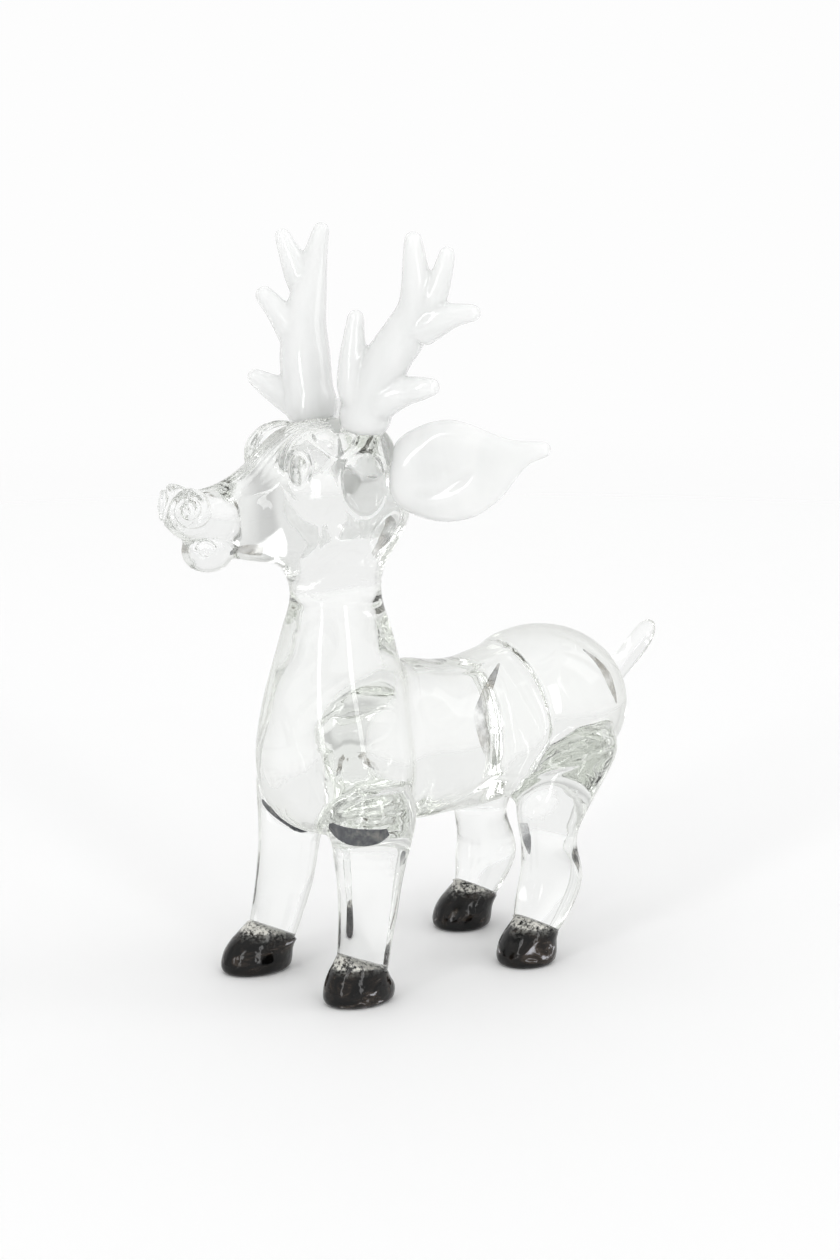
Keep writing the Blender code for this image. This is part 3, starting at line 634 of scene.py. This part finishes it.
def ball_rings(centre, half, tilt=0.0):
    """An oval ball as rings, tipped about X."""
    rings = []
    for k in range(1, 16):
        a = pi * k / 16
        turned = Matrix.Rotation(tilt, 3, 'X')
        middle = turned @ Vector((0, -cos(a) * half[1], 0)) + Vector(centre)
        rings.append(oval(place(*middle), (half[0] * sin(a), 0, 0), turned @ Vector((0, 0, half[2] * sin(a)))))
    return rings


def face_bits():
    """Lower jaw, nose, brows, eyes, the mounds the antlers stand on and the roots of the ears."""
    bodies = [ball_rings((0.0, -74.5, 180.4), (8.8, 10.8, 8.8))]
    for side in (1, -1):
        for centre, half, tilt in FACE:
            bodies.append(ball_rings((centre[0] * side,) + centre[1:], half, tilt))
    return bodies


def to_rows(obj):
    """Every vertex of a piece and its normal, in the millimetres the shapes are laid out in."""
    mesh = obj.data
    points = np.empty(len(mesh.vertices) * 3)
    normals = np.empty(len(mesh.vertices) * 3)
    mesh.vertices.foreach_get("co", points)
    mesh.vertex_normals.foreach_get("vector", normals)
    return (points.reshape(-1, 3) - np.array(SHIFT)) / MM, normals.reshape(-1, 3)


def push(obj, points, normals, lift):
    """Moves every vertex along its normal by its own lift in millimetres."""
    moved = (points + normals * lift[:, None]) * MM + np.array(SHIFT)
    obj.data.vertices.foreach_set("co", moved.ravel())
    obj.data.update()


def spot(points, centre, facing, turn=0.0):
    """Distances along and up a spot's own face, and how far in front of it each point is."""
    facing = Vector(facing).normalized()
    along = Vector((0, 0, 1)).cross(facing).normalized()
    along = Matrix.Rotation(radians(turn), 3, facing) @ along
    away = points - np.array(centre)
    return away @ np.array(along), away @ np.array(facing.cross(along)), away @ np.array(facing)


def hump(x):
    return np.exp(-x * x)


def line_lift(points, path, depth, width):
    """A groove with soft shoulders along a path; a negative depth makes a ridge."""
    path = np.array(fair([list(p) for p in path], 4))
    reach = 6.0 * width
    close = np.all((points > path.min(axis=0) - reach) & (points < path.max(axis=0) + reach), axis=1)
    lift = np.zeros(len(points))
    points = points[close]
    nearest = np.full(len(points), 1e9)
    share = np.zeros(len(points))
    for k in range(len(path) - 1):
        a, step = path[k], path[k + 1] - path[k]
        t = np.clip((points - a) @ step / (step @ step), 0.0, 1.0)
        gap = np.linalg.norm(points - a - t[:, None] * step, axis=1)
        closer = gap < nearest
        nearest = np.where(closer, gap, nearest)
        share = np.where(closer, (k + t) / (len(path) - 1), share)
    fade = np.clip(np.minimum(share, 1.0 - share) * 6.0, 0.0, 1.0)
    lift[close] = fade * depth * (0.45 * hump(nearest / (width * 2.2)) - hump(nearest / width))
    return lift


def mirrored(table_point, side):
    return (table_point[0] * side,) + tuple(table_point[1:])


def tooled(points, side, ovals, lines):
    """The lift that pressed ovals and tooled lines give on one side of the animal."""
    lift = np.zeros(len(points))
    for centre, facing, half_long, half_high, turn, swell, groove in ovals:
        u, v, w = spot(points, mirrored(centre, side), mirrored(facing, side), turn * side)
        rho = np.sqrt((u / half_long) ** 2 + (v / half_high) ** 2)
        near = np.abs(w) < 9.0
        rim = 0.6 / min(half_long, half_high)
        lift += near * (swell * hump(rho / 0.62) - groove * hump((rho - 1.0) / rim))
    for depth, width, path in lines:
        lift += line_lift(points, [mirrored(p, side) for p in path], depth, width)
    return lift


def face_lift(points):
    """The pressed ovals, the tooled lines, the curled nostrils and the streaked brow."""
    lift = np.zeros(len(points))
    for side in (1, -1):
        lift += tooled(points, side, OVALS, LINES) * (1.0 if side > 0 else 0.4)
        u, v, w = spot(points, mirrored(NOSTRIL[0], side), mirrored(NOSTRIL[1], side))
        rho, angle = np.hypot(u, v), np.arctan2(v, u * side)
        coil = np.cos(2.0 * pi * rho / 3.1 - angle - 0.8)
        lift += (np.abs(w) < 7.0) * (0.8 * coil * hump((rho - 5.6) / 3.0))
    x, y, z = points.T
    top = np.clip((z - 196.0 - 0.33 * (y + 86.0)) / 6.0, 0.0, 1.0) * (y > -88.0) * (y < -24.0)
    lift += 0.16 * top * np.sin(2.0 * pi * (x + 1.2 * np.sin(y / 9.0)) / 2.4) * (np.abs(x) < 15.0)
    return lift


def wrinkle(obj, points, normals, strength, size):
    """Fine bubbly dents in the cores of the nostrils and the curl of the lip."""
    lift = np.zeros(len(points))
    for centre, reach in BUBBLY:
        for side in (1, -1):
            gap = np.linalg.norm(points - np.array(mirrored(centre, side)), axis=1)
            for i in np.nonzero(gap < reach)[0]:
                fade = 1.0 - (gap[i] / reach) ** 2
                lift[i] += fade * strength * noise.noise(Vector(points[i]) / size)
    push(obj, points, normals, lift)


def relax(obj, places, passes):
    """Lets the skin slump where bits were joined."""
    bm = bmesh.new()
    bm.from_mesh(obj.data)
    bm.verts.ensure_lookup_table()
    points, _ = to_rows(obj)
    for centre, half in places:
        inside = np.sum(((points - np.array(centre)) / np.array(half)) ** 2, axis=1)
        for step in range(8):
            spots = [bm.verts[i] for i in np.nonzero(inside < 1.3 - 0.13 * step)[0]]
            for _ in range(passes // 8):
                bmesh.ops.smooth_vert(bm, verts=spots, factor=0.5, use_axis_x=True, use_axis_y=True,
                                      use_axis_z=True)
    bm.to_mesh(obj.data)
    bm.free()


def refine(obj, boxes):
    """Halves the faces inside each box so that small shapes can be cut there."""
    bm = bmesh.new()
    bm.from_mesh(obj.data)
    for low, high in boxes:
        a, b = place(*low), place(*high)
        edges = [e for e in bm.edges if all(all(a[k] <= v.co[k] <= b[k] for k in range(3)) for v in e.verts)]
        bmesh.ops.subdivide_edges(bm, edges=edges, cuts=1, use_grid_fill=True, smooth=0.0)
    bmesh.ops.triangulate(bm, faces=[f for f in bm.faces if len(f.verts) > 4])
    bm.to_mesh(obj.data)
    bm.free()


def cap_share(co, lean):
    """True on the frothy cap that is buried in the clear leg, false on the hoof's outside."""
    return co.z > CAP_HEIGHT * MM + 0.2 * MM * lean


class REINDEER_OT_hooves(bpy.types.Operator):
    """Presses the four black hooves"""
    bl_idname = "reindeer.hooves"
    bl_label = "Hooves"

    def execute(self, context):
        for where, (x, y, half_length, lean, leg) in HOOVES.items():
            rows = [list(r) for r in HOOF]
            rings = []
            for z, share, along, wide, tilt in fair(rows, 4):
                slope = radians(tilt)
                reach = Vector((0, -cos(slope), sin(slope))) * along * half_length
                rings.append(oval(place(x, y + share * lean, z), (wide, 0, 0), reach))
            for step in range(1, 5):
                shrink = cos(radians(CAP_STEP * step))
                rise = HOOF[-1][0] + CAP_RISE * sin(radians(CAP_STEP * step))
                slope = radians(CAP_TILT)
                reach = Vector((0, -cos(slope), sin(slope))) * leg * 1.06 * shrink
                rings.append(oval(place(x, y + lean - 0.2 * step, rise), (HOOF[-1][3] * shrink, 0, 0), reach))
            foot = bits_to_object("hoof_" + where + "_glass", [rings])
            froth = foot.data.attributes.new("froth", 'FLOAT', 'POINT')
            froth.data.foreach_set("value", [float(cap_share(v.co, lean)) for v in foot.data.vertices])
            finish_piece(foot, material("black_glass", black_glass, None), ["hoof_" + where])
        return {'FINISHED'}


class REINDEER_OT_antlers(bpy.types.Operator):
    """Pulls and fuses the two branched opal antlers"""
    bl_idname = "reindeer.antlers"
    bl_label = "Antlers"

    def execute(self, context):
        settings = context.scene.reindeer_opal
        for word, rods in ANTLERS.items():
            antler = bits_to_object("antler_" + word, [rod_rings(rows) for rows in rods])
            melt(antler, settings.grain, settings.soften)
            nodes = [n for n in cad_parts
                     if n.startswith(word + "_tine") or n == "antler_" + word + "_beam"]
            finish_piece(antler, material("white_opal_glass", opal_glass, settings),
                         nodes)
        return {'FINISHED'}


class REINDEER_OT_ears(bpy.types.Operator):
    """Presses the two opal ears"""
    bl_idname = "reindeer.ears"
    bl_label = "Ears"

    def execute(self, context):
        settings = context.scene.reindeer_opal
        for word, side in (("left", 1), ("right", -1)):
            rings = []
            rows = fair(EAR, 5)
            for i, (x, y, z, half, thick) in enumerate(rows):
                a, b = rows[max(i - 1, 0)], rows[min(i + 1, len(rows) - 1)]
                step = Vector(((b[0] - a[0]) * side, b[1] - a[1], b[2] - a[2])).normalized()
                up = (Vector((0, 0, 1)) - step * step.z).normalized()
                rings.append(oval(place(x * side, y, z), up * half, step.cross(up) * thick))
            ear = bits_to_object("opal_ear_" + word, [rings])
            low, high = sorted((10 * side, 80 * side))
            refine(ear, [((low, -20, 180), (high, 50, 240))])
            points, normals = to_rows(ear)
            facing = normals @ np.array((0.64 * side, -0.77, 0.05)) > 0.0
            push(ear, points, normals, facing * tooled(points, side, EAR_CUP, EAR_LINES))
            relax(ear, [((45.0 * side, 12.0, 208.0), (60.0, 60.0, 40.0))], 8)
            finish_piece(ear, material("white_opal_glass", opal_glass, settings),
                         ["ear_" + word])
        return {'FINISHED'}


class REINDEER_OT_films(bpy.types.Operator):
    """Lays sheets under the skin that paint in shade: dark ones for the hooves' reflections, grey ones for shade
    marks
    """
    bl_idname = "reindeer.films"
    bl_label = "Painted shade films"

    def execute(self, context):
        skin = bpy.data.objects["clear_body"]
        tree = BVHTree.FromPolygons([v.co for v in skin.data.vertices],
                                    [f.vertices for f in skin.data.polygons])
        dark, pale = [], []
        for name, (path, widths, depth) in FILMS.items():
            rows = fair([list(p) + [w] for p, w in zip(path, widths)], 5)
            held = []
            for x, y, z, wide in rows:
                where, facing, _, _ = tree.find_nearest(place(x, y, z))
                held.append((where - facing * depth * MM, facing, wide))
            rings = []
            for i, (where, facing, wide) in enumerate(held):
                step = (held[min(i + 1, len(held) - 1)][0] - held[max(i - 1, 0)][0]).normalized()
                side = facing.cross(step).normalized()
                rings.append(oval(where, side * max(wide, 0.2), step.cross(side) * 0.25))
            (dark if "collar" in name else pale).append(rings)
        # the dark sheets paint in the reflections of the black hooves at the leg tops; the grey ones paint shade
        # marks seen in the glass
        for name, bodies, maker in (("smoke_film", dark, smoke_film), ("haze_film", pale, haze_film)):
            films = bits_to_object(name + "s", bodies)
            finish_piece(films, material(name, maker, None), [])
        return {'FINISHED'}


class REINDEER_OT_stage(bpy.types.Operator):
    """Lays the pale floor and sets the soft light and the camera"""
    bl_idname = "reindeer.stage"
    bl_label = "Stage"

    def execute(self, context):
        settings = context.scene.reindeer_stage
        scene = context.scene
        target = place(33.5, 0.0, 146.0)
        back = Vector((sin(settings.azimuth) * cos(settings.elevation),
                       -cos(settings.azimuth) * cos(settings.elevation), sin(settings.elevation)))
        data = bpy.data.cameras.new("camera")
        data.lens = settings.lens
        data.sensor_fit = 'VERTICAL'
        data.sensor_height = 36.0
        data.clip_end = 100.0
        camera = bpy.data.objects.new("camera", data)
        scene.collection.objects.link(camera)
        camera.location = target + back * settings.distance
        camera.rotation_euler = (-back).to_track_quat('-Z', 'Y').to_euler()
        scene.camera = camera
        lay_floor(settings)
        light_room(scene, settings)
        scene.view_settings.view_transform = 'Standard'
        scene.cycles.max_bounces = 96
        scene.cycles.transmission_bounces = 96
        scene.cycles.glossy_bounces = 96
        scene.cycles.transparent_max_bounces = 16
        return {'FINISHED'}


def lay_floor(settings):
    bm = bmesh.new()
    bmesh.ops.create_circle(bm, cap_ends=True, segments=96, radius=settings.floor_radius)
    mesh = bpy.data.meshes.new("floor")
    bm.to_mesh(mesh)
    bm.free()
    floor = bpy.data.objects.new("floor", mesh)
    floor.location = (0.0, 0.0, -0.0002)
    bpy.context.scene.collection.objects.link(floor)
    mat, paint = new_material("pale_floor")
    spot = paint.at()
    reach = paint.node("ShaderNodeVectorMath", {"operation": "LENGTH"}, {0: spot}).out("Value")
    paper = paint.node("ShaderNodeBsdfPrincipled", {}, {
        "Base Color": (0.97, 0.97, 0.97, 1.0), "Roughness": 0.6 + paint.noise(300.0, 3.0) * 0.1,
        "Specular IOR Level": 0.2})
    clear = paint.node("ShaderNodeBsdfTransparent")
    edge = paint.ease(reach, 0.35, settings.floor_radius * 0.98)
    mixed = paint.node("ShaderNodeMixShader", {}, {0: edge, 1: paper.out(), 2: clear.out()})
    paint.node("ShaderNodeOutputMaterial", {}, {"Surface": mixed.out()})
    mesh.materials.append(mat)


# what the glass sees, from the camera's side (0) round to straight behind the animal (1), as greys
ROOM = ((0.0, 0.84), (0.42, 0.82), (0.49, 0.60), (0.56, 0.64), (0.64, 0.87), (0.785, 0.89), (0.81, 0.74),
        (0.84, 0.89), (0.90, 0.90))
# soft boxes: degrees round from the camera, degrees up, half width, half height, power
SOFT_BOXES = ((-33.0, 24.0, 0.055, 0.38, 6.0), (27.0, 20.0, 0.065, 0.34, 5.2), (95.0, 40.0, 0.16, 0.30, 1.5))
OVERHEAD = 0.28
SWEEP = 0.983


def light_room(scene, settings):
    """A white sweep behind, two grey rings that draw the glass's edges, tall soft boxes, and a glow overhead."""
    world = bpy.data.worlds.new("room")
    scene.world = world
    world.use_nodes = True
    paint = Paint(world.node_tree)
    way = paint.node("ShaderNodeTexCoord").out("Generated")

    def along(azimuth, lift):
        turn = settings.azimuth + radians(azimuth)
        lift = radians(lift)
        axis = Vector((sin(turn) * cos(lift), -cos(turn) * cos(lift), sin(lift)))
        return paint.node("ShaderNodeVectorMath", {"operation": "DOT_PRODUCT"}, {0: way, 1: axis}).out("Value")

    behind = along(180.0, -12.0)
    room = paint.ramp(behind * 0.5 + 0.5, *((where, grey(value)) for where, value in ROOM))
    boxes = 0.0
    for turn, lift, half_wide, half_tall, power in SOFT_BOXES:
        across = along(turn + 90.0, 0.0)
        over = along(turn, lift + 90.0)
        front = along(turn, lift)
        inside = (1.0 - paint.ease(abs(across), half_wide * 0.8, half_wide * 1.2))
        inside = inside * (1.0 - paint.ease(abs(over), half_tall * 0.9, half_tall * 1.1))
        boxes = boxes + inside * paint.ease(front, 0.2, 0.3) * power
    zenith = paint.node("ShaderNodeVectorMath", {"operation": "DOT_PRODUCT"}, {0: way, 1: (0, 0, 1)}).out("Value")
    ray = paint.node("ShaderNodeLightPath")
    boxes = boxes + paint.ease(zenith, 0.66, 0.80) * ray.out("Is Diffuse Ray") * OVERHEAD
    seen = ray.out("Is Camera Ray")
    strength = paint.node("ShaderNodeMix", {"data_type": "FLOAT"}, {0: seen, 2: 1.0 + boxes, 3: 1.0}).out(0)
    colour = paint.node("ShaderNodeMix", {"data_type": "RGBA"}, {0: seen, 6: room, 7: grey(SWEEP)}).out(2)
    glow = paint.node("ShaderNodeBackground", {}, {"Color": colour, "Strength": strength})
    paint.node("ShaderNodeOutputWorld", {}, {"Surface": glow.out()})


class REINDEER_PT_bench(bpy.types.Panel):
    """The bench: every piece of the animal and its stage"""
    bl_idname = "REINDEER_PT_bench"
    bl_label = "Glass Reindeer"
    bl_space_type = 'VIEW_3D'
    bl_region_type = 'UI'
    bl_category = "Reindeer"

    def draw(self, context):
        for step in STEPS:
            self.layout.operator(step.bl_idname)
        for name in SETTINGS:
            box = self.layout.box()
            group = getattr(context.scene, name)
            for key in group.bl_rna.properties.keys():
                if key not in {"rna_type", "name"}:
                    box.prop(group, key)


STEPS = (REINDEER_OT_clear_body, REINDEER_OT_films, REINDEER_OT_hooves, REINDEER_OT_antlers,
         REINDEER_OT_ears, REINDEER_OT_stage)
SETTINGS = {"reindeer_clear": ClearGlassSettings, "reindeer_opal": OpalGlassSettings,
            "reindeer_stage": StageSettings}


def register():
    for group in SETTINGS.values():
        bpy.utils.register_class(group)
    for step in STEPS + (REINDEER_PT_bench,):
        bpy.utils.register_class(step)
    for name, group in SETTINGS.items():
        setattr(bpy.types.Scene, name, PointerProperty(type=group))


def unregister():
    for name in SETTINGS:
        delattr(bpy.types.Scene, name)
    for step in reversed(STEPS + (REINDEER_PT_bench,)):
        bpy.utils.unregister_class(step)
    for group in reversed(list(SETTINGS.values())):
        bpy.utils.unregister_class(group)


def main():
    register()
    bpy.ops.reindeer.clear_body()
    bpy.ops.reindeer.films()
    bpy.ops.reindeer.hooves()
    bpy.ops.reindeer.antlers()
    bpy.ops.reindeer.ears()
    bpy.ops.reindeer.stage()


if __name__ == "__main__":
    main()
